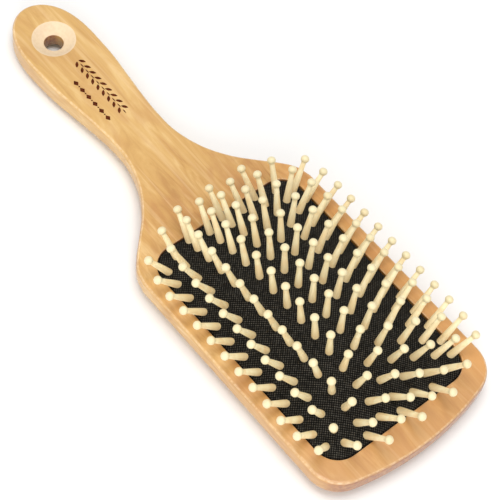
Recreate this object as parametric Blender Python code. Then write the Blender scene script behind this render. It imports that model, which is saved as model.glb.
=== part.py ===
"""Paddle hair brush: a lacquered wooden body, a domed air cushion let into its face, and 127 ball-tipped
wooden pins in nine lengthwise columns. It lies on its flat back: +Z is the pin side, the handle runs
to -Y. Each pin's flat head sits behind the cushion. Neighbouring heads are joined by a hidden bar into
pieces of two or three pins, and the pieces of one column turn together."""

import math

import bmesh
import bpy
from mathutils import Vector
from mathutils.geometry import delaunay_2d_cdt

MM = 0.001

# ---- wooden body, mm -------------------------------------------------------------------------------
LENGTH = 247.6
THICK = 11.5
PADDLE_HALF_W = 42.0
POCKET_Y = 56.6                     # centre of the cushion pocket, from the middle of the brush
FAR_ARC_R = 120.0                   # bowed end of the paddle
FAR_CORNER_R = 14.0
HANDLE_HALF_W = 15.5                # widest part of the handle
HANDLE_END_LEN = 28.0               # teardrop end, from the tip to the widest part
HANDLE_END_POWER = 2.6
# half width at stations along the waist and shoulders, from the pocket centre towards the handle
WAIST = ((152.4, 15.5), (140.0, 15.05), (128.0, 13.7), (116.0, 12.35), (106.0, 11.75), (97.0, 12.1),
         (88.0, 14.35), (80.0, 18.0), (72.0, 23.6), (64.5, 30.8), (58.5, 36.7), (53.5, 40.3), (47.5, 42.0))
TOP_ROUND = 1.3
BACK_ROUND_PADDLE = 6.4
BACK_ROUND_TIP = 3.6
BACK_ROUND_START, BACK_ROUND_SPAN = 25.0, 55.0   # the back's rounding grows here, from the handle's tip
# ---- pocket and hanging hole -----------------------------------------------------------------------
POCKET_HALF = (35.0, 54.5)
POCKET_CORNER_R = 10.0
POCKET_DEPTH = 6.6
LIP = 2.0                           # wood over the groove
GROOVE = (1.8, 2.0)                 # how far it runs under the lip, and how high it is
HOLE_FROM_TIP = 20.0
HOLE_R = 4.0
# (radius, depth) of the wide dish round the hole, the same on both faces
DISH = ((8.8, 0.0), (7.5, 1.05), (5.9, 2.05), (HOLE_R, 2.9))
# ---- cushion ---------------------------------------------------------------------------------------
RUBBER = 1.5
EDGE_WALL = 1.2                     # rubber's upright edge inside the lip
EDGE_GAP = 0.4
EDGE_DROP = 0.5                     # cushion edge below the wood's face
RISE = 11.1                         # crown above the cushion's edge
DOME_HALF = (34.6, 54.3)
DOME_POWER = 2.8
FLANGE = 1.4
# ---- pins ------------------------------------------------------------------------------------------
COLUMNS = range(-4, 5)
PITCH_X, PITCH_Y = 8.75, 8.0
PIN_LEN = 13.7                      # cushion surface to ball centre
PIN_ROOT_R, PIN_NECK_R, BALL_R = 1.5, 0.97, 1.7
HEAD_R, HEAD_THICK, HEAD_DROP = 2.0, 0.9, 2.4
HOLE_CLEAR = 0.28
SIDES = 6

TOP = THICK


def clear_scene():
    for o in list(bpy.data.objects):
        bpy.data.objects.remove(o, do_unlink=True)
    for c in list(bpy.data.collections):
        bpy.data.collections.remove(c)


def material(name, colour, rough, metallic=0.0):
    m = bpy.data.materials.new(name)
    m.use_nodes = True
    b = m.node_tree.nodes["Principled BSDF"]
    b.inputs["Base Color"].default_value = (*colour, 1)
    b.inputs["Roughness"].default_value = rough
    b.inputs["Metallic"].default_value = metallic
    m.diffuse_color = (*colour, 1)
    return m


def add_object(name, bm, collection, mat=None, origin=(0, 0, 0)):
    """Makes an object from a bmesh in mm, with its origin at a point in mm."""
    bmesh.ops.recalc_face_normals(bm, faces=bm.faces)
    at = Vector(origin)
    for v in bm.verts:
        v.co = (v.co - at) * MM
    mesh = bpy.data.meshes.new(name)
    bm.to_mesh(mesh)
    bm.free()
    o = bpy.data.objects.new(name, mesh)
    o.location = at * MM
    collection.objects.link(o)
    if mat:
        mesh.materials.append(mat)
    return o


def stack(loops, cap=True):
    """A closed body through loops of the same number of points, from the lowest to the last."""
    bm = bmesh.new()
    rings = [[bm.verts.new(p) for p in loop] for loop in loops]
    n = len(rings[0])
    for a, b in zip(rings, rings[1:]):
        for i in range(n):
            j = (i + 1) % n
            bm.faces.new((a[i], a[j], b[j], b[i]))
    if cap:
        bm.faces.new(rings[0][::-1])
        bm.faces.new(rings[-1])
    return bm


# ---- outlines --------------------------------------------------------------------------------------
def spline(stations, per_span):
    """Catmull-Rom curve through (y, half width) stations."""
    pts = [Vector(s) for s in stations]
    pts = [2 * pts[0] - pts[1], *pts, 2 * pts[-1] - pts[-2]]
    out = []
    for k in range(1, len(pts) - 2):
        p0, p1, p2, p3 = pts[k - 1:k + 3]
        for i in range(per_span):
            t = i / per_span
            out.append(0.5 * (2 * p1 + (p2 - p0) * t + (2 * p0 - 5 * p1 + 4 * p2 - p3) * t * t
                              + (3 * p1 - p0 - 3 * p2 + p3) * t ** 3))
    return out


def half_outline():
    """(half width, y) from the handle's tip round one side to the middle of the paddle's end."""
    tip = -LENGTH / 2
    pts = []
    for k in range(12):
        w = HANDLE_HALF_W * (0, .14, .27, .40, .52, .63, .73, .82, .89, .94, .975, .995)[k]
        d = HANDLE_END_LEN * (1 - (1 - (w / HANDLE_HALF_W) ** 2) ** (1 / HANDLE_END_POWER))
        pts.append((w, tip + d))
    pts += [(w, POCKET_Y - y) for y, w in spline(WAIST, 2)]
    pts.append((PADDLE_HALF_W, POCKET_Y - WAIST[-1][0]))
    pts += [(PADDLE_HALF_W, POCKET_Y + y) for y in (-32, -16, 0, 16, 32)]
    end = LENGTH / 2
    centre = Vector((0, end - FAR_ARC_R))
    # the corner's centre keeps its radius from both the side and the bowed end
    cx = PADDLE_HALF_W - FAR_CORNER_R
    cy = centre.y + math.sqrt((FAR_ARC_R - FAR_CORNER_R) ** 2 - cx ** 2)
    last = math.atan2(cy - centre.y, cx)
    for k in range(7):
        a = last * k / 6
        pts.append((cx + FAR_CORNER_R * math.cos(a), cy + FAR_CORNER_R * math.sin(a)))
    for k in range(1, 6):
        a = last + (math.pi / 2 - last) * k / 5
        pts.append((FAR_ARC_R * math.cos(a) if k < 5 else 0.0, centre.y + FAR_ARC_R * math.sin(a)))
    return pts


def body_outline():
    """Anticlockwise loop of (point, outward normal)."""
    half = half_outline()
    pts = [Vector(p) for p in half] + [Vector((-x, y)) for x, y in half[-2:0:-1]]
    out = []
    for i, p in enumerate(pts):
        t = (pts[(i + 1) % len(pts)] - pts[i - 1]).normalized()
        out.append((p, Vector((t.y, -t.x))))
    return out


def rounded_rect(grow, z, per_corner=7):
    """Pocket outline grown by a distance, anticlockwise."""
    hx, hy, r = POCKET_HALF[0] + grow, POCKET_HALF[1] + grow, POCKET_CORNER_R + grow
    pts = []
    for sx, sy, start in ((1, 1, 0), (-1, 1, 90), (-1, -1, 180), (1, -1, 270)):
        for k in range(per_corner):
            a = math.radians(start + 90 * k / (per_corner - 1))
            x, y = sx * (hx - r) + r * math.cos(a), sy * (hy - r) + r * math.sin(a)
            pts.append((x, y))
        # the straight side that follows this corner
        if start in (0, 180):
            line = [(sx * (hx - r) * (1 - 2 * t), sy * hy) for t in (.33, .67)]
        else:
            line = [(sx * hx, sy * (hy - r) * (1 - 2 * t)) for t in (.25, .5, .75)]
        pts += line
    return [(x, y + POCKET_Y, z) for x, y in pts]


def dome(x, y):
    """Height of the cushion's face above the wood's face, x and y from the pocket's centre."""
    a, b = min(1, abs(x) / DOME_HALF[0]), min(1, abs(y) / DOME_HALF[1])
    return -EDGE_DROP + RISE * (1 - a * a) * (1 - b ** DOME_POWER)


def under(x, y):
    """Height of the cushion's inner face."""
    e = 0.5
    gx = (dome(x + e, y) - dome(x - e, y)) / (2 * e)
    gy = (dome(x, y + e) - dome(x, y - e)) / (2 * e)
    return dome(x, y) - RUBBER * math.sqrt(1 + gx * gx + gy * gy)


# ---- pins ------------------------------------------------------------------------------------------
def sign(v):
    return (v > 0) - (v < 0)


def pin_root(k, v):
    """Where pin v mm along column k of the flat sheet stands once the sheet is domed."""
    u, s = PITCH_X * k, abs(v) / 56
    pull = 0.07 * max(0.0, 1 - (abs(u) / 26) ** 3) * s ** 4
    outer, corner = (abs(u) / 35) ** 6, (abs(v) / 48) ** 12
    bow = outer * (0.35 * math.exp(-((abs(v) - 34) / 9) ** 2) - 0.5 * corner)
    x = u * (1 - pull) - sign(u) * (3.1 * (abs(u) / 35) ** 3.8 - bow)
    y = v - sign(v) * (4.2 * s ** 5.5 + 0.4 * outer * corner)
    return x, y


def pin_lean(x, y):
    """Slope of the pin across and along the brush."""
    a, b = abs(x) / 32, abs(y) / 52
    across = 0.97 * a ** 1.6 - 0.6 * min(1, abs(x) / 25) * b ** (2.3 + 2.2 * (abs(x) / 26) ** 3)
    along = (0.92 - 0.2 * a * a) * b ** (2.45 + 5.4 * a ** 3)
    return sign(x) * across, sign(y) * along - 0.1 * max(0.0, 1 - b ** 4)


def column_pins(k):
    """Pin stations along column k: whole pitches in even columns, half pitches in odd ones."""
    if k % 2:
        return [PITCH_Y * (j + 0.5) for j in range(-7, 7)]
    n = 6 if abs(k) == 4 else 7
    return [PITCH_Y * j for j in range(-n, n + 1)]


def pin_axis(k, v):
    """(root on the cushion's face in mm, unit direction)."""
    x, y = pin_root(k, v)
    sx, sy = pin_lean(x, y)
    return Vector((x, y + POCKET_Y, TOP + dome(x, y))), Vector((sx, sy, 1)).normalized()


def frame_of(d, towards):
    e1 = (towards - towards.dot(d) * d).normalized()
    return e1, d.cross(e1)


PROFILE = ((-HEAD_DROP - HEAD_THICK, HEAD_R), (-HEAD_DROP, HEAD_R), (-HEAD_DROP, PIN_ROOT_R),
           (PIN_LEN - 1.4, PIN_NECK_R), (PIN_LEN, BALL_R), (PIN_LEN + 1.5, 0.85))


def pin_piece(name, pins, towards, collection, mat, origin):
    """Two or three pins as one body: lathe-like pins, with the facing sides of neighbouring heads
    opened and bridged by a bar."""
    bm = bmesh.new()
    all_rings = []
    for n, (root, d) in enumerate(pins):
        e1, e2 = frame_of(d, towards)
        rings = []
        for s, r in PROFILE:
            ring = []
            for i in range(SIDES):
                a = math.radians(30 + 60 * i)
                ring.append(bm.verts.new(root + d * s + r * (math.cos(a) * e1 + math.sin(a) * e2)))
            rings.append(ring)
        for m, (lo, hi) in enumerate(zip(rings, rings[1:])):
            for i in range(SIDES):
                j = (i + 1) % SIDES
                joined = m == 0 and ((i == 5 and n < len(pins) - 1) or (i == 2 and n > 0))
                if not joined:
                    bm.faces.new((lo[i], lo[j], hi[j], hi[i]))
        bm.faces.new(rings[0][::-1])
        bm.faces.new(rings[-1])
        all_rings.append(rings)
    for a, b in zip(all_rings, all_rings[1:]):
        corners = [(a[0][0], b[0][2]), (a[0][5], b[0][3]), (a[1][5], b[1][3]), (a[1][0], b[1][2])]
        for (p, q), (r, s) in zip(corners, corners[1:] + corners[:1]):
            bm.faces.new((p, q, s, r))
    bmesh.ops.triangulate(bm, faces=bm.faces)
    return add_object(name, bm, collection, mat, origin)


def groups(n):
    """Splits n pins in pieces of two or three."""
    sizes = {13: (3, 2, 3, 2, 3), 12: (2, 3, 2, 3, 2), 7: (2, 3, 2)}[n]
    out, at = [], 0
    for s in sizes:
        out.append(range(at, at + s))
        at += s
    return out


def build_pins(collection, mat):
    """Side columns stand whole. The last pins of the inner columns form a row at each end."""
    letters = "abcdefghi"
    rows = {"tip": [], "neck": []}
    for k in COLUMNS:
        pins = [pin_axis(k, v) for v in column_pins(k)]
        if abs(k) < 4:
            rows["neck"].append(pins[0])
            rows["tip"].append(pins[-1])
            pins = pins[1:-1]
        axis_x = pins[len(pins) // 2][0].x
        axis_z = sum(p.z for p, _ in pins) / len(pins)
        for g, members in enumerate(groups(len(pins)), 1):
            chosen = [pins[m] for m in members]
            mid = sum(p.y for p, _ in chosen) / len(chosen)
            pin_piece(f"pins_{letters[k + 4]}{g}", chosen, Vector((0, 1, 0)), collection, mat,
                      (axis_x, mid, axis_z))
    for name, pins in rows.items():
        axis_y = sum(p.y for p, _ in pins) / len(pins)
        axis_z = sum(p.z for p, _ in pins) / len(pins)
        for g, members in enumerate(groups(len(pins)), 1):
            chosen = [pins[m] for m in members]
            mid = sum(p.x for p, _ in chosen) / len(chosen)
            pin_piece(f"pins_{name}{g}", chosen, Vector((1, 0, 0)), collection, mat,
                      (mid, axis_y, axis_z))


# ---- cushion ---------------------------------------------------------------------------------------
def hole_loop(root, d, surface):
    """Where the pin's clearance bore meets a face of the cushion."""
    e1, e2 = frame_of(d, Vector((0, 1, 0)))
    out = []
    for i in range(SIDES):
        a = math.radians(30 + 60 * i)
        p = root + (PIN_ROOT_R + HOLE_CLEAR) * (math.cos(a) * e1 + math.sin(a) * e2)
        for _ in range(30):
            gap = TOP + surface(p.x, p.y - POCKET_Y) - p.z
            p = p + d * (0.8 * gap / d.z)
        out.append(p)
    return out


def sheet(bm, border, holes):
    """Triangulated domed face between a border loop and hole loops. Returns the loops' vertices."""
    loops = [border, *holes]
    flat, edges, owner = [], [], []
    for n, loop in enumerate(loops):
        first = len(flat)
        for i, p in enumerate(loop):
            flat.append(Vector((p[0], p[1])))
            owner.append(n)
            edges.append((first + i, first + (i + 1) % len(loop)))
    verts, _, faces, orig, _, _ = delaunay_2d_cdt(flat, edges, [], 1, 1e-5)
    made, where = [], {}
    for i, v in enumerate(verts):
        src = orig[i][0]
        n = owner[src]
        p = loops[n][src - owner.index(n)]
        made.append(bm.verts.new((v.x, v.y, p[2])))
        where[src] = made[-1]
    for f in faces:
        mine = {owner[orig[i][0]] for i in f}
        if mine == {0} or len(mine) > 1:
            bm.faces.new([made[i] for i in f])
    out, at = [], 0
    for loop in loops:
        out.append([where[at + i] for i in range(len(loop))])
        at += len(loop)
    return out


def build_cushion(collection, mat):
    pins = [pin_axis(k, v) for k in COLUMNS for v in column_pins(k)]
    bm = bmesh.new()

    def border(grow, surface):
        return [(x, y, TOP + surface(x, y - POCKET_Y)) for x, y, _ in rounded_rect(grow, 0)]

    top = sheet(bm, border(-EDGE_GAP, dome), [hole_loop(*p, dome) for p in pins])
    low = sheet(bm, border(-EDGE_GAP - EDGE_WALL, under), [hole_loop(*p, under) for p in pins])
    for a, b in zip(top[1:], low[1:]):
        for i in range(SIDES):
            j = (i + 1) % SIDES
            bm.faces.new((a[i], a[j], b[j], b[i]))
    high, deep = TOP - LIP - 0.3, TOP - LIP - GROOVE[1] + 0.3
    chain = [top[0]]
    for grow, z in ((-EDGE_GAP, high), (FLANGE, high), (FLANGE, deep), (-EDGE_GAP - EDGE_WALL, deep)):
        chain.append([bm.verts.new(p) for p in rounded_rect(grow, z)])
    chain.append(low[0])
    for a, b in zip(chain, chain[1:]):
        n = len(a)
        for i in range(n):
            j = (i + 1) % n
            bm.faces.new((a[i], a[j], b[j], b[i]))
    bmesh.ops.triangulate(bm, faces=bm.faces)
    return add_object("cushion", bm, collection, mat)


# ---- wooden body -----------------------------------------------------------------------------------
def cutter(name, bm, collection):
    o = add_object(name, bm, collection)
    o.display_type = "WIRE"
    o.hide_render = True
    return o


def circle(r, y, z, n=24):
    return [(r * math.cos(2 * math.pi * i / n), y + r * math.sin(2 * math.pi * i / n), z)
            for i in range(n)]


def build_body(collection, cutters, mat):
    outline = body_outline()

    def back_round(y):
        t = min(1, max(0, (y + LENGTH / 2 - BACK_ROUND_START) / BACK_ROUND_SPAN))
        return BACK_ROUND_TIP + (BACK_ROUND_PADDLE - BACK_ROUND_TIP) * t * t * (3 - 2 * t)

    loops = []
    for deg in (0, 30, 60, 90):
        a = math.radians(deg)
        loops.append([(*(p - n * back_round(p.y) * (1 - math.sin(a))),
                       back_round(p.y) * (1 - math.cos(a))) for p, n in outline])
    for deg in (0, 45, 90):
        a = math.radians(deg)
        loops.append([(*(p - n * TOP_ROUND * (1 - math.cos(a))), TOP - TOP_ROUND * (1 - math.sin(a)))
                      for p, n in outline])
    body = add_object("wood_body", stack(loops), collection, mat)

    floor, groove = TOP - POCKET_DEPTH, TOP - LIP - GROOVE[1]
    steps = ((0, floor), (0, groove), (GROOVE[0], groove), (GROOVE[0], TOP - LIP), (0, TOP - LIP),
             (0, TOP + 1))
    pocket = cutter("cut_pocket", stack([rounded_rect(g, z) for g, z in steps]), cutters)
    y = -LENGTH / 2 + HOLE_FROM_TIP
    inward = ((DISH[0][0] + 1, -1), *DISH)          # starts outside the wood
    profile = (*inward, *[(r, TOP - z) for r, z in inward[::-1]])
    hole = cutter("cut_hanging_hole", stack([circle(r, y, z) for r, z in profile]), cutters)
    for c in (pocket, hole):
        m = body.modifiers.new(c.name, "BOOLEAN")
        m.operation, m.solver, m.object = "DIFFERENCE", "EXACT", c
    return body


def main():
    clear_scene()
    brush = bpy.data.collections.new("paddle_brush")
    cutters = bpy.data.collections.new("cutters")
    for c in (brush, cutters):
        bpy.context.scene.collection.children.link(c)
    wood = material("lacquered_wood", (0.72, 0.45, 0.20), 0.35)
    black = material("woven_rubber", (0.018, 0.018, 0.02), 0.85)
    cream = material("pin_wood", (0.83, 0.72, 0.47), 0.45)
    build_body(brush, cutters, wood)
    build_cushion(brush, black)
    build_pins(brush, cream)


main()
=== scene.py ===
"""Wooden paddle hair brush: lacquered board with a burnt-in sprig and a hanging hole, a woven-faced air
cushion in its pocket, and 127 turned pins. Lengths are in mm unless a name says otherwise; +Z is the pin
side and the handle runs to -Y."""

import math
import random

import bmesh
import bpy
from mathutils import Matrix, Vector
from mathutils.geometry import delaunay_2d_cdt


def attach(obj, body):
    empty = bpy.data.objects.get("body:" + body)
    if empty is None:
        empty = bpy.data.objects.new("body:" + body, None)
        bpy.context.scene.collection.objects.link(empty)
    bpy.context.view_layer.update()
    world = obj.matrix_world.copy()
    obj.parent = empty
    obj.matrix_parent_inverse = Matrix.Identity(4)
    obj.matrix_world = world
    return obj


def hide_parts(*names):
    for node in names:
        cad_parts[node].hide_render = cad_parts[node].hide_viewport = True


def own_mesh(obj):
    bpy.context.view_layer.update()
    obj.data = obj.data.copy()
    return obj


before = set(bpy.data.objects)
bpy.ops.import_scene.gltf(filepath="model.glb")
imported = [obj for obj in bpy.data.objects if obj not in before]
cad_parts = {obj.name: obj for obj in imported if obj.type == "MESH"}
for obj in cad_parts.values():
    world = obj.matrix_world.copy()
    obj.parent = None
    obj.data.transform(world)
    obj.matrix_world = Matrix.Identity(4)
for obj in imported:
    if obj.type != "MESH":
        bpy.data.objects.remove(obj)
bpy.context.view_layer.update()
MM = 0.001

# ---- dimensions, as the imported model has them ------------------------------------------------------
LENGTH, TOP = 247.6, 11.5
PADDLE_HALF_W = 42.0
POCKET_Y = 56.6
FAR_ARC_R, FAR_CORNER_R = 120.0, 14.0
HANDLE_HALF_W, HANDLE_END_LEN, HANDLE_END_POWER = 15.5, 28.0, 2.6
WAIST = ((152.4, 15.5), (140.0, 15.05), (128.0, 13.7), (116.0, 12.35), (106.0, 11.75), (97.0, 12.1),
         (88.0, 14.35), (80.0, 18.0), (72.0, 23.6), (64.5, 30.8), (58.5, 36.7), (53.5, 40.3), (47.5, 42.0))
TOP_ROUND, BACK_ROUND_PADDLE, BACK_ROUND_TIP = 1.3, 6.4, 3.6
POCKET_HALF, POCKET_CORNER_R, POCKET_DEPTH = (35.0, 54.5), 10.0, 6.6
LIP, GROOVE = 2.0, (1.8, 2.0)
HOLE_FROM_TIP, HOLE_R = 20.0, 4.0
RUBBER, EDGE_WALL, EDGE_GAP, EDGE_DROP, RISE = 1.5, 1.2, 0.4, 0.5, 11.1
DOME_HALF, DOME_POWER, FLANGE = (34.6, 54.3), 2.8, 1.4
PITCH_X, PITCH_Y, PIN_LEN = 8.75, 8.0, 13.7
BACK_ROUND_START, BACK_ROUND_SPAN = 25.0, 55.0   # the back's rounding grows here, from the handle's tip

# ---- details that only this script has -------------------------------------------------------------
RIM_SOFT = 0.45                     # rounding of the pocket's rim
EDGE_SOFT = 0.5                     # rounding of the cushion's edge
DIMPLE_DEPTH, DIMPLE_SPREAD = 0.38, 4.2          # skin drawn in round each pin; spread in square mm
FACE_STEP, INNER_STEP = 0.75, 3.0   # grids of the cushion's two faces
WEAVE_PITCH = 1.15
BURN_DEPTH = 0.15
SPRIG_X, SPRIG_Y, SPRIG_STEP, SPRIG_PAIRS = -1.1, -88.0, 3.5, 9
ROW_X, ROW_Y, ROW_STEP, LOZENGES = 6.2, -80.5, 4.2, 6
FLOOR_GAP = 0.2                     # between the floor and the board's back


# ---- mesh helpers ----------------------------------------------------------------------------------
def ring(bm, points):
    return [bm.verts.new(p) for p in points]


def bridge(bm, a, b, slot=0):
    """Joins two closed loops of the same number of vertices."""
    for i in range(len(a)):
        j = (i + 1) % len(a)
        bm.faces.new((a[i], a[j], b[j], b[i])).material_index = slot


def fill(bm, outer, holes=(), inner=(), slot=0):
    """Triangulates the area inside a loop of vertices, round hole loops and through inner points."""
    flat, edges, owner, known = [], [], [], []
    for n, loop in enumerate((outer, *holes)):
        first = len(flat)
        for i, v in enumerate(loop):
            flat.append(Vector(v.co[:2]))
            owner.append(n)
            known.append(v)
            edges.append((first + i, first + (i + 1) % len(loop)))
    for p in inner:
        flat.append(Vector(p[:2]))
        owner.append(-1)
        known.append(bm.verts.new(p))
    verts, _, faces, orig, _, _ = delaunay_2d_cdt(flat, edges, [], 1, 1e-6)
    for f in faces:
        src = [orig[i][0] for i in f]
        mine = {owner[s] for s in src}
        if len(mine) > 1 or mine <= {0, -1}:
            bm.faces.new([known[s] for s in src]).material_index = slot


def finish_piece(name, bm, mats, sharp=32):
    bmesh.ops.recalc_face_normals(bm, faces=bm.faces)
    bmesh.ops.scale(bm, vec=(MM, MM, MM), verts=bm.verts)
    mesh = bpy.data.meshes.new(name)
    bm.to_mesh(mesh)
    bm.free()
    for p in mesh.polygons:
        p.use_smooth = True
    mesh.set_sharp_from_angle(angle=math.radians(sharp))
    o = bpy.data.objects.new(name, mesh)
    bpy.context.scene.collection.objects.link(o)
    for m in mats:
        mesh.materials.append(m)
    return o


# ---- node material helpers -------------------------------------------------------------------------
class Nodes:
    """Short calls that build a material's node tree."""

    def __init__(self, name, **shader):
        self.mat = bpy.data.materials.new(name)
        self.mat.use_nodes = True
        self.tree = self.mat.node_tree
        self.shader = self.tree.nodes["Principled BSDF"]
        for key, value in shader.items():
            self.shader.inputs[key.replace("_", " ")].default_value = value
        self.where = self.tree.nodes.new("ShaderNodeTexCoord").outputs["Object"]

    def put(self, socket, value):
        if isinstance(value, bpy.types.NodeSocket):
            self.tree.links.new(value, socket)
        else:
            socket.default_value = value

    def math(self, op, a, b=0.0, clamp=False):
        n = self.tree.nodes.new("ShaderNodeMath")
        n.operation, n.use_clamp = op, clamp
        self.put(n.inputs[0], a)
        self.put(n.inputs[1], b)
        return n.outputs[0]

    def noise(self, scale, detail=3.0, rough=0.5, distort=0.0, shift=(0, 0, 0), where=None):
        """Noise with its own number of features per metre along each axis."""
        m = self.tree.nodes.new("ShaderNodeMapping")
        self.put(m.inputs["Vector"], where or self.where)
        m.inputs["Scale"].default_value = scale
        m.inputs["Location"].default_value = shift
        n = self.tree.nodes.new("ShaderNodeTexNoise")
        self.put(n.inputs["Vector"], m.outputs[0])
        n.inputs["Scale"].default_value = 1.0
        n.inputs["Detail"].default_value = detail
        n.inputs["Roughness"].default_value = rough
        n.inputs["Distortion"].default_value = distort
        return n.outputs["Fac"]

    def ramp(self, value, stops):
        n = self.tree.nodes.new("ShaderNodeValToRGB")
        self.put(n.inputs[0], value)
        e = n.color_ramp.elements
        while len(e) < len(stops):
            e.new(0.5)
        for el, (at, colour) in zip(e, stops):
            el.position = at
            el.color = (*colour, 1) if len(colour) == 3 else colour
        return n.outputs[0]

    def remap(self, value, lo, hi, to_lo=0.0, to_hi=1.0, smooth=True):
        n = self.tree.nodes.new("ShaderNodeMapRange")
        n.interpolation_type = "SMOOTHSTEP" if smooth else "LINEAR"
        keys = ("Value", "From Min", "From Max", "To Min", "To Max")
        for key, v in zip(keys, (value, lo, hi, to_lo, to_hi)):
            self.put(n.inputs[key], v)
        return n.outputs[0]

    def mix(self, factor, a, b, how="MIX"):
        n = self.tree.nodes.new("ShaderNodeMix")
        n.data_type, n.blend_type = "RGBA", how
        self.put(n.inputs["Factor"], factor)
        for socket, v in ((n.inputs[6], a), (n.inputs[7], b)):
            self.put(socket, v if isinstance(v, bpy.types.NodeSocket) else (*v, 1))
        return n.outputs[2]

    def axes(self, vector=None):
        n = self.tree.nodes.new("ShaderNodeSeparateXYZ")
        self.put(n.inputs[0], vector or self.where)
        return n.outputs

    def normal_axes(self):
        return self.axes(self.tree.nodes.new("ShaderNodeNewGeometry").outputs["Normal"])

    def attribute(self, name):
        n = self.tree.nodes.new("ShaderNodeAttribute")
        n.attribute_name = name
        return n.outputs["Fac"]

    def bump(self, height, strength, distance_mm):
        n = self.tree.nodes.new("ShaderNodeBump")
        n.inputs["Strength"].default_value = strength
        n.inputs["Distance"].default_value = distance_mm * MM
        self.put(n.inputs["Height"], height)
        self.put(self.shader.inputs["Normal"], n.outputs[0])

    def done(self, colour, roughness=None):
        self.put(self.shader.inputs["Base Color"], colour)
        if roughness is not None:
            self.put(self.shader.inputs["Roughness"], roughness)
        return self.mat


# ---- materials -------------------------------------------------------------------------------------
def wood(name, raw=False):
    """Pale close-grained hardwood. Lacquered, or bare and paler where it was bored after lacquering."""
    n = Nodes(name, Coat_Weight=0.0 if raw else 0.38, Coat_Roughness=0.1, IOR=1.5)
    streak = n.noise((150, 24, 130), detail=4, rough=0.62, distort=1.8)
    band = n.noise((62, 7, 50), detail=2, distort=0.4, shift=(7, 2, 0))
    cloud = n.noise((120, 45, 200), detail=3, distort=1.0, shift=(3, 5, 1))
    flame = n.noise((430, 15, 320), detail=2, distort=0.5, shift=(1, 9, 4))
    fibre = n.noise((1300, 60, 1000), detail=3, rough=0.6, distort=0.3)
    base = n.ramp(streak, ((0.34, (0.46, 0.222, 0.058)), (0.45, (0.58, 0.325, 0.096)),
                           (0.54, (0.645, 0.385, 0.130)), (0.66, (0.765, 0.52, 0.23))))
    base = n.mix(n.remap(band, 0.38, 0.68, 0.0, 0.42), base, (0.55, 0.28, 0.074))
    base = n.mix(n.remap(cloud, 0.45, 0.70, 0.0, 0.6), base, (0.49, 0.222, 0.070))
    base = n.mix(n.remap(flame, 0.56, 0.74, 0.0, 0.4), base, (0.84, 0.60, 0.34))
    base = n.mix(n.remap(fibre, 0.35, 0.75, 0.0, 0.16, smooth=False), base, (0.42, 0.20, 0.065))
    x, y, _ = n.axes()
    # the board warms in tone towards the far end and the -X rim, and the handle is yellower
    base = n.mix(n.remap(y, 0.0, -0.05, 0.0, 0.38), base, (0.66, 0.425, 0.150))
    base = n.mix(n.remap(y, 0.03, 0.125, 0.0, 0.6), base, (0.50, 0.242, 0.085))
    base = n.mix(n.remap(x, -0.028, -0.040, 0.0, 0.6), base, (0.68, 0.32, 0.090))
    # end grain drinks more lacquer and goes redder
    _, ny, nz = n.normal_axes()
    ends = n.remap(n.math("ABSOLUTE", ny), 0.3, 0.85)
    speck = n.noise((700, 700, 700), detail=3)
    base = n.mix(n.math("MULTIPLY", ends, n.remap(speck, 0.3, 0.7, 0.45, 1.0)), base, (0.30, 0.125, 0.068))
    # painted highlight: a paler line along the rounded top edge, where the normal tilts between the top and
    # the side
    edge = n.math("MULTIPLY", n.remap(nz, 0.4, 0.7), n.remap(nz, 0.985, 0.9))
    base = n.mix(n.math("MULTIPLY", edge, n.remap(speck, 0.35, 0.65, 0.15, 0.5)), base, (0.85, 0.64, 0.40))
    if raw:
        base = n.mix(0.6, base, (0.80, 0.67, 0.50))
    n.bump(fibre, 0.25 if not raw else 0.5, 0.05)
    rough = n.remap(fibre, 0.3, 0.7, 0.36, 0.48) if not raw else n.remap(fibre, 0.3, 0.7, 0.62, 0.8)
    return n.done(base, rough)


def burnt():
    """Charred bottom of the branded marks."""
    n = Nodes("burnt_wood", Specular_IOR_Level=0.05)
    char = n.noise((1800, 500, 900), detail=3)
    n.bump(char, 0.5, 0.05)
    return n.done(n.ramp(char, ((0.3, (0.055, 0.010, 0.003)), (0.7, (0.140, 0.032, 0.010)))), 0.85)


def weave():
    """Black plain-weave cloth bonded on rubber, with painted sheen: grey flecks where the threads cross."""
    n = Nodes("woven_rubber", Specular_IOR_Level=0.05)
    x, y, _ = n.axes()
    wobble = n.math("MULTIPLY", n.math("SUBTRACT", n.noise((240, 240, 240), detail=2), 0.5), 1.2)
    turns = 2 * math.pi / (WEAVE_PITCH * MM)
    u = n.math("SINE", n.math("ADD", n.math("MULTIPLY", x, turns), wobble))
    v = n.math("SINE", n.math("ADD", n.math("MULTIPLY", y, turns), wobble))
    knots = n.remap(n.math("MULTIPLY", u, v), -1.0, 1.0)
    fleck = n.remap(n.noise((900, 900, 900), detail=2), 0.34, 0.66, 0.4, 1.0)
    # painted sheen: the raised crossings of the threads are lightened to grey
    painted_sheen = n.math("MULTIPLY", n.math("POWER", knots, 3.0), fleck)
    colour = n.mix(painted_sheen, (0.0030, 0.0028, 0.0024), (0.098, 0.092, 0.078))
    n.bump(knots, 0.8, 0.12)
    return n.done(colour, 0.8)


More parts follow.
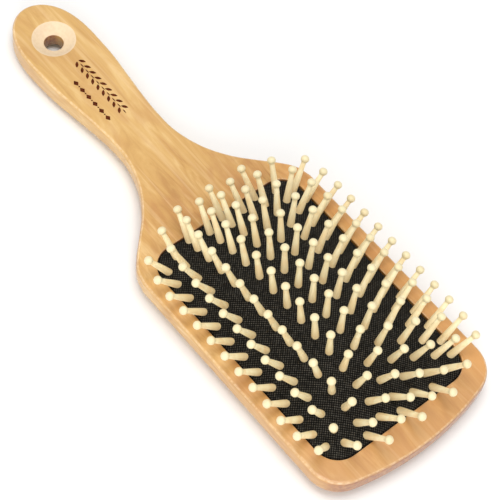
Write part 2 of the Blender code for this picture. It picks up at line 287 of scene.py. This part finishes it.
def pin_wood():
    """Turned boxwood, each pin with its own tone, with painted shade that makes it tanner towards the root
    and darker in the neck under the ball.
    """
    n = Nodes("pin_wood", Coat_Weight=0.15, Coat_Roughness=0.3, IOR=1.48)
    along, tone = n.attribute("along"), n.attribute("tone")
    fibre = n.noise((700, 700, 90), detail=3, distort=0.3)
    patch = n.noise((260, 260, 150), detail=2, distort=0.5)
    base = n.ramp(fibre, ((0.3, (0.94, 0.80, 0.475)), (0.7, (0.97, 0.89, 0.61))))
    base = n.mix(n.remap(patch, 0.46, 0.68, 0.0, 0.6), base, (0.87, 0.64, 0.33))
    # painted shade with a warm bounce tint: tanner towards the root, down among the pins
    base = n.mix(n.remap(along, 0.55, 0.0, 0.0, 0.5), base, (0.87, 0.63, 0.32))
    base = n.mix(n.remap(tone, 0.2, 1.0, 0.0, 0.25), base, (0.83, 0.67, 0.40))
    # painted shade: darker in the neck and on the underside of the ball
    base = n.mix(n.remap(along, 0.86, 0.93, 0.0, 0.6), base, (0.66, 0.58, 0.36))
    n.bump(fibre, 0.2, 0.04)
    return n.done(base, n.remap(fibre, 0.3, 0.7, 0.45, 0.58))


def floor_finish():
    """Plain pale paper."""
    n = Nodes("paper_floor", Specular_IOR_Level=0.1)
    tone = n.noise((9, 9, 9), detail=2)
    return n.done(n.ramp(tone, ((0.3, (0.86, 0.86, 0.86)), (0.7, (0.88, 0.88, 0.877)))), 0.9)


LACQUERED, BARE, BURNT = wood("lacquered_wood"), wood("bare_wood", raw=True), burnt()
WOVEN, BOXWOOD = weave(), pin_wood()


# ---- outlines --------------------------------------------------------------------------------------
def spline(stations, per_span):
    """Catmull-Rom curve through (y, half width) stations."""
    pts = [Vector(s) for s in stations]
    pts = [2 * pts[0] - pts[1], *pts, 2 * pts[-1] - pts[-2]]
    out = []
    for k in range(1, len(pts) - 2):
        p0, p1, p2, p3 = pts[k - 1:k + 3]
        for i in range(per_span):
            t = i / per_span
            out.append(0.5 * (2 * p1 + (p2 - p0) * t + (2 * p0 - 5 * p1 + 4 * p2 - p3) * t * t
                              + (3 * p1 - p0 - 3 * p2 + p3) * t ** 3))
    return out


def board_outline():
    """Anticlockwise (point, outward normal) round the board."""
    half = []
    for k in range(26):
        a = math.pi / 2 * k / 26
        w = HANDLE_HALF_W * math.sin(a)
        d = HANDLE_END_LEN * (1 - math.cos(a) ** (2 / HANDLE_END_POWER))
        half.append((w, d - LENGTH / 2))
    half += [(w, POCKET_Y - y) for y, w in spline(WAIST, 7)]
    half.append((PADDLE_HALF_W, POCKET_Y - WAIST[-1][0]))
    centre_y = LENGTH / 2 - FAR_ARC_R
    cx = PADDLE_HALF_W - FAR_CORNER_R
    cy = centre_y + math.sqrt((FAR_ARC_R - FAR_CORNER_R) ** 2 - cx ** 2)
    start = POCKET_Y - WAIST[-1][0]
    half += [(PADDLE_HALF_W, start + (cy - start) * t / 16) for t in range(1, 16)]
    last = math.atan2(cy - centre_y, cx)
    half += [(cx + FAR_CORNER_R * math.cos(last * k / 16), cy + FAR_CORNER_R * math.sin(last * k / 16))
             for k in range(17)]
    for k in range(1, 13):
        a = last + (math.pi / 2 - last) * k / 12
        half.append((FAR_ARC_R * math.cos(a) if k < 12 else 0.0, centre_y + FAR_ARC_R * math.sin(a)))
    pts = [Vector(p) for p in half] + [Vector((-x, y)) for x, y in half[-2:0:-1]]
    out = []
    for i, p in enumerate(pts):
        t = (pts[(i + 1) % len(pts)] - pts[i - 1]).normalized()
        out.append((p, Vector((t.y, -t.x))))
    return out


def pocket_loop(grow, z=None, per_corner=14, per_side=12):
    """Pocket outline grown by a distance. z is a number or a function of x and y."""
    hx, hy, r = POCKET_HALF[0] + grow, POCKET_HALF[1] + grow, POCKET_CORNER_R + grow
    pts = []
    for sx, sy, start in ((1, 1, 0), (-1, 1, 90), (-1, -1, 180), (1, -1, 270)):
        for k in range(per_corner):
            a = math.radians(start + 90 * k / (per_corner - 1))
            pts.append((sx * (hx - r) + r * math.cos(a), sy * (hy - r) + r * math.sin(a)))
        for k in range(1, per_side):
            t = 1 - 2 * k / per_side
            pts.append((sx * (hx - r) * t, sy * hy) if start in (0, 180) else (sx * hx, sy * (hy - r) * t))
    return [(x, y + POCKET_Y, z(x, y) if callable(z) else z) for x, y in pts]


def circle(r, y, z, n=64):
    return [(r * math.cos(2 * math.pi * i / n), y + r * math.sin(2 * math.pi * i / n), z) for i in range(n)]


# ---- burnt-in sprig --------------------------------------------------------------------------------
def leaf(x, y, length, width, turn, n=5):
    """Pointed oval outline, turned from the brush's long axis, in degrees."""
    c, s = math.cos(math.radians(turn)), math.sin(math.radians(turn))
    side = [(width / 2 * math.sin(math.pi * k / n) ** 0.9, length * (k / n - 0.5)) for k in range(1, n)]
    pts = [(0, -length / 2), *side, (0, length / 2), *[(-a, b) for a, b in side[::-1]]]
    return [(x + a * c - b * s, y + a * s + b * c, TOP) for a, b in pts]


def ornament():
    """A sprig of paired leaves along the handle, with a row of lozenges beside it."""
    loops = []
    for k in range(SPRIG_PAIRS):
        y = SPRIG_Y + SPRIG_STEP * k
        loops.append(leaf(SPRIG_X - 1.4, y, 3.2, 1.3, 38))
        loops.append(leaf(SPRIG_X + 1.4, y + 0.2, 3.2, 1.3, -38))
        loops.append(leaf(SPRIG_X, y + SPRIG_STEP / 2, 2.5, 0.5, 0))
    for k in range(LOZENGES):
        y = ROW_Y + ROW_STEP * k
        loops.append(leaf(ROW_X, y, 3.1, 2.2, 0, n=2))
        if k < LOZENGES - 1:
            loops.append(leaf(ROW_X, y + ROW_STEP / 2, 0.85, 0.9, 0, n=2))
    return loops


# ---- wooden board ----------------------------------------------------------------------------------
def back_round(y):
    t = min(1, max(0, (y + LENGTH / 2 - BACK_ROUND_START) / BACK_ROUND_SPAN))
    return BACK_ROUND_TIP + (BACK_ROUND_PADDLE - BACK_ROUND_TIP) * t * t * (3 - 2 * t)


# (radius, depth) of the dish round the hanging hole, the same on both faces
DISH = ((9.6, 0), (9.1, 0.02), (8.75, 0.12), (8.4, 0.34), (7.9, 0.70), (7.3, 1.12), (6.6, 1.54),
        (5.9, 1.92), (5.2, 2.25), (4.6, 2.50), (4.22, 2.66), (4.06, 2.84), (HOLE_R, 3.2))


def build_board():
    outline = board_outline()
    bm = bmesh.new()
    loops = [[(*(p - n * (back_round(p.y) + 0.7)), 0.0) for p, n in outline]]
    for k in range(11):
        a = math.pi / 2 * k / 10
        loops.append([(*(p - n * back_round(p.y) * (1 - math.sin(a))), back_round(p.y) * (1 - math.cos(a)))
                      for p, n in outline])
    for k in range(9):
        a = math.pi / 2 * k / 8
        loops.append([(*(p - n * TOP_ROUND * (1 - math.cos(a))), TOP - TOP_ROUND * (1 - math.sin(a)))
                      for p, n in outline])
    loops.append([(*(p - n * (TOP_ROUND + 0.5)), TOP) for p, n in outline])
    rings = [ring(bm, loop) for loop in loops]
    for a, b in zip(rings, rings[1:]):
        bridge(bm, a, b)

    # pocket: softened rim, lip, undercut groove and floor
    floor, groove = TOP - POCKET_DEPTH, TOP - LIP - GROOVE[1]
    steps = [(2 * RIM_SOFT, TOP)]
    steps += [(RIM_SOFT * (1 - math.sin(a)), TOP - RIM_SOFT * (1 - math.cos(a)))
              for a in (math.pi / 2 * k / 5 for k in range(6))]
    steps += [(0, TOP - LIP), (GROOVE[0], TOP - LIP), (GROOVE[0], groove), (0, groove), (0, floor)]
    pocket = [ring(bm, pocket_loop(g, z)) for g, z in steps]
    for a, b in zip(pocket, pocket[1:]):
        bridge(bm, a, b)
    fill(bm, pocket[-1])

    # hanging hole, dished on both faces after the lacquer had dried
    y = HOLE_FROM_TIP - LENGTH / 2
    hole = [ring(bm, circle(r, y, TOP - z)) for r, z in DISH]
    hole += [ring(bm, circle(r, y, z)) for r, z in DISH[::-1]]
    for n, (a, b) in enumerate(zip(hole, hole[1:])):
        bridge(bm, a, b, 1 if 1 <= n < len(hole) - 2 and abs(n - len(DISH) + 1) > 1 else 0)

    # the marks are burnt into the face
    marks = [ring(bm, loop) for loop in ornament()]
    for m in marks:
        deep = ring(bm, [v.co - Vector((0, 0, BURN_DEPTH)) for v in m])
        bridge(bm, m, deep, 2)
        bm.faces.new(deep).material_index = 2
    fill(bm, rings[-1], [pocket[0], hole[0], *marks])
    fill(bm, rings[0], [hole[-1]])
    return finish_piece("board", bm, (LACQUERED, BARE, BURNT))


# ---- pins ------------------------------------------------------------------------------------------
def sign(v):
    return (v > 0) - (v < 0)


def dome(x, y):
    """Height of the cushion's face above the wood's face, x and y from the pocket's centre."""
    a, b = min(1, abs(x) / DOME_HALF[0]), min(1, abs(y) / DOME_HALF[1])
    return -EDGE_DROP + RISE * (1 - a * a) * (1 - b ** DOME_POWER)


def under(x, y):
    """Height of the cushion's inner face."""
    e = 0.5
    gx = (dome(x + e, y) - dome(x - e, y)) / (2 * e)
    gy = (dome(x, y + e) - dome(x, y - e)) / (2 * e)
    return dome(x, y) - RUBBER * math.sqrt(1 + gx * gx + gy * gy)


def pin_root(k, v):
    """Where pin v mm along column k of the flat sheet stands once the sheet is domed."""
    u, s = PITCH_X * k, abs(v) / 56
    pull = 0.07 * max(0.0, 1 - (abs(u) / 26) ** 3) * s ** 4
    outer, corner = (abs(u) / 35) ** 6, (abs(v) / 48) ** 12
    bow = outer * (0.35 * math.exp(-((abs(v) - 34) / 9) ** 2) - 0.5 * corner)
    x = u * (1 - pull) - sign(u) * (3.1 * (abs(u) / 35) ** 3.8 - bow)
    return x, v - sign(v) * (4.2 * s ** 5.5 + 0.4 * outer * corner)


def pin_lean(x, y):
    """Slope of the pin across and along the brush."""
    a, b = abs(x) / 32, abs(y) / 52
    across = 0.97 * a ** 1.6 - 0.6 * min(1, abs(x) / 25) * b ** (2.3 + 2.2 * (abs(x) / 26) ** 3)
    along = (0.92 - 0.2 * a * a) * b ** (2.45 + 5.4 * a ** 3)
    return sign(x) * across, sign(y) * along - 0.1 * max(0.0, 1 - b ** 4)


def column_pins(k):
    """Pins along column k, end to end: whole pitches in even columns, half pitches in odd ones."""
    if k % 2:
        stations = [PITCH_Y * (j + 0.5) for j in range(-7, 7)]
    else:
        n = 6 if abs(k) == 4 else 7
        stations = [PITCH_Y * j for j in range(-n, n + 1)]
    pins = []
    for v in stations:
        x, y = pin_root(k, v)
        sx, sy = pin_lean(x, y)
        pins.append((Vector((x, y + POCKET_Y, TOP + dome(x, y))), Vector((sx, sy, 1)).normalized()))
    return pins


# (distance from the cushion's face, radius): head, tapered shank, neck, then the rounded tip
HEAD = ((-3.3, 0.0), (-3.3, 1.7), (-3.18, 1.9), (-2.95, 2.0), (-2.62, 2.0), (-2.45, 1.9), (-2.4, 1.55))
SHANK = ((-2.2, 1.49), (-0.3, 1.49), (1.5, 1.46), (4.0, 1.36), (6.5, 1.23), (9.0, 1.10), (11.0, 1.005),
         (11.9, 0.975), (12.25, 1.0))
BALL = [(PIN_LEN + 1.6 * math.sin(math.radians(d)), 1.7 * math.cos(math.radians(d)))
        for d in (-53, -44, -33, -22, -11, 0)]
BALL += [(PIN_LEN + 1.48 * math.sin(math.radians(d)), 1.7 * math.cos(math.radians(d)) ** 0.95)
         for d in (11, 22, 33, 44, 55, 66, 77)] + [(PIN_LEN + 1.49, 0.0)]
PROFILE = (*HEAD, *SHANK, *BALL)
SIDES = 22


def add_pin(bm, root, d, layers, tone):
    """Turns one pin about its axis. The layers hold how far along it a vertex is, and its tone."""
    e1 = (Vector((0, 1, 0)) - d.y * d).normalized()
    e2 = d.cross(e1)
    rings = []
    for s, r in PROFILE:
        if r == 0:
            loop = [bm.verts.new(root + d * s)]
        else:
            loop = ring(bm, [root + d * s + r * (math.cos(a) * e1 + math.sin(a) * e2)
                             for a in (2 * math.pi * i / SIDES for i in range(SIDES))])
        for v in loop:
            v[layers[0]] = max(0.0, s / PIN_LEN)
            v[layers[1]] = tone
        rings.append(loop)
    for a, b in zip(rings, rings[1:]):
        for i in range(SIDES):
            j = (i + 1) % SIDES
            corners = [a[i % len(a)], a[j % len(a)], b[j % len(b)], b[i % len(b)]]
            bm.faces.new(list(dict.fromkeys(corners)))


def groups(n):
    """How many pins each CAD node of a column or row holds."""
    sizes = {13: (3, 2, 3, 2, 3), 12: (2, 3, 2, 3, 2), 7: (2, 3, 2)}[n]
    return [range(sum(sizes[:i]), sum(sizes[:i + 1])) for i in range(len(sizes))]


def build_pins():
    rng = random.Random(11)
    sets, rows = {}, {"neck": [], "tip": []}
    for k, letter in zip(range(-4, 5), "abcdefghi"):
        pins = column_pins(k)
        if abs(k) < 4:
            rows["neck"].append(pins[0])
            rows["tip"].append(pins[-1])
            pins = pins[1:-1]
        sets["column_" + letter] = (letter, pins)
    for name, pins in rows.items():
        sets["row_" + name] = (name, pins)
    for body, (name, pins) in sets.items():
        for g, members in enumerate(groups(len(pins)), 1):
            bm = bmesh.new()
            layers = [bm.verts.layers.float.new(key) for key in ("along", "tone")]
            for m in members:
                add_pin(bm, *pins[m], layers, rng.random())
            piece = finish_piece(f"turned_pins_{name}{g}", bm, (BOXWOOD,), 50)
            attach(piece, body)
            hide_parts(f"pins_{name}{g}")


# ---- cushion ---------------------------------------------------------------------------------------
def inside_pocket(x, y, grow):
    """Whether a point, from the pocket's centre, is inside the pocket's outline grown by a distance."""
    hx, hy, r = POCKET_HALF[0] + grow, POCKET_HALF[1] + grow, POCKET_CORNER_R + grow
    dx, dy = abs(x) - (hx - r), abs(y) - (hy - r)
    return abs(x) < hx and abs(y) < hy and (dx < 0 or dy < 0 or math.hypot(dx, dy) < r)


def build_cushion():
    roots = [p for k in range(-4, 5) for p, _ in column_pins(k)]

    def face(x, y):
        """The domed face, drawn in a little round each pin."""
        z = TOP + dome(x, y)
        for p in roots:
            dx, dy = x - p.x, y + POCKET_Y - p.y
            if abs(dx) < 5 and abs(dy) < 5:
                z -= DIMPLE_DEPTH * math.exp(-(dx * dx + dy * dy) / DIMPLE_SPREAD)
        return z

    def grid(step, grow):
        nx, ny = int(POCKET_HALF[0] / step) + 1, int(POCKET_HALF[1] / step) + 1
        return [(i * step, j * step) for i in range(-nx, nx + 1) for j in range(-ny, ny + 1)
                if inside_pocket(i * step, j * step, grow)]

    bm = bmesh.new()
    edge = -EDGE_GAP
    high, deep = TOP - LIP - 0.3, TOP - LIP - GROOVE[1] + 0.3
    soft = EDGE_SOFT
    loops = [pocket_loop(edge - soft - 0.35, face)]
    for k in range(5):
        a = math.pi / 2 * k / 4
        loops.append(pocket_loop(edge - soft * (1 - math.sin(a)),
                                 lambda x, y, a=a: face(x, y) - soft * (1 - math.cos(a))))
    inner = edge - EDGE_WALL
    loops += [pocket_loop(edge, high), pocket_loop(FLANGE, high), pocket_loop(FLANGE, deep),
              pocket_loop(inner, deep), pocket_loop(inner, lambda x, y: TOP + under(x, y))]
    rings = [ring(bm, loop) for loop in loops]
    for a, b in zip(rings, rings[1:]):
        bridge(bm, a, b)
    fill(bm, rings[0], inner=[(x, y + POCKET_Y, face(x, y)) for x, y in grid(FACE_STEP, edge - soft - 0.8)])
    low = grid(INNER_STEP, inner - INNER_STEP / 2)
    fill(bm, rings[-1], inner=[(x, y + POCKET_Y, TOP + under(x, y)) for x, y in low])
    piece = finish_piece("air_cushion", bm, (WOVEN,), 50)
    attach(piece, "cushion")
    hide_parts("cushion")
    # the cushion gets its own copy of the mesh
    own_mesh(piece)


# ---- set -------------------------------------------------------------------------------------------
# the view's own right, up and back axes, and the eye's place in metres
RIGHT = Vector((-0.76511556, 0.6370609, 0.09354995))
UP = Vector((-0.50793644, -0.68645052, 0.52037126))
BACK = Vector((0.3957256, 0.35062672, 0.84880042))
EYE = Vector((0.27807721, 0.26821026, 0.60800585))
LENS = 131.777


def link(o):
    bpy.context.scene.collection.objects.link(o)
    return o


def area_light(name, right, up, back, size, watts, colour=(1, 1, 1)):
    """A soft box placed by its direction from the brush, along the view's axes."""
    data = bpy.data.lights.new(name, "AREA")
    data.shape, data.size, data.energy, data.color = "DISK", size, watts, colour
    o = link(bpy.data.objects.new(name, data))
    at = RIGHT * right + UP * up + BACK * back
    o.location = at
    o.rotation_mode = "QUATERNION"
    o.rotation_quaternion = at.to_track_quat("Z", "Y")


def build_set():
    data = bpy.data.cameras.new("camera")
    data.sensor_width, data.lens = 36, LENS
    data.clip_start, data.clip_end = 0.05, 20
    cam = link(bpy.data.objects.new("camera", data))
    turn = Matrix((RIGHT, UP, BACK)).transposed()
    cam.matrix_world = Matrix.Translation(EYE) @ turn.to_4x4()
    bpy.context.scene.camera = cam

    bm = bmesh.new()
    bmesh.ops.create_circle(bm, cap_ends=True, segments=64, radius=3000)
    floor = finish_piece("floor", bm, (floor_finish(),))
    floor.location.z = -FLOOR_GAP * MM

    area_light("key", 0.12, 0.58, 1.0, 0.7, 7.6, (1.0, 0.99, 0.97))
    area_light("front", 0.12, -0.66, 1.0, 0.8, 6.8, (1.0, 0.99, 0.97))
    area_light("left", -1.1, -0.30, 0.55, 0.6, 1.4, (1.0, 0.995, 0.98))
    area_light("rim", -0.70, 0.84, 0.22, 0.35, 1.2, (1.0, 0.995, 0.98))
    world = bpy.data.worlds.new("studio")
    world.use_nodes = True
    world.node_tree.nodes["Background"].inputs["Color"].default_value = (1, 1, 1, 1)
    world.node_tree.nodes["Background"].inputs["Strength"].default_value = 0.57
    bpy.context.scene.world = world
    bpy.context.scene.view_settings.view_transform = "Standard"


board = build_board()
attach(board, "handle")
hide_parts("wood_body")
build_pins()
build_cushion()
build_set()
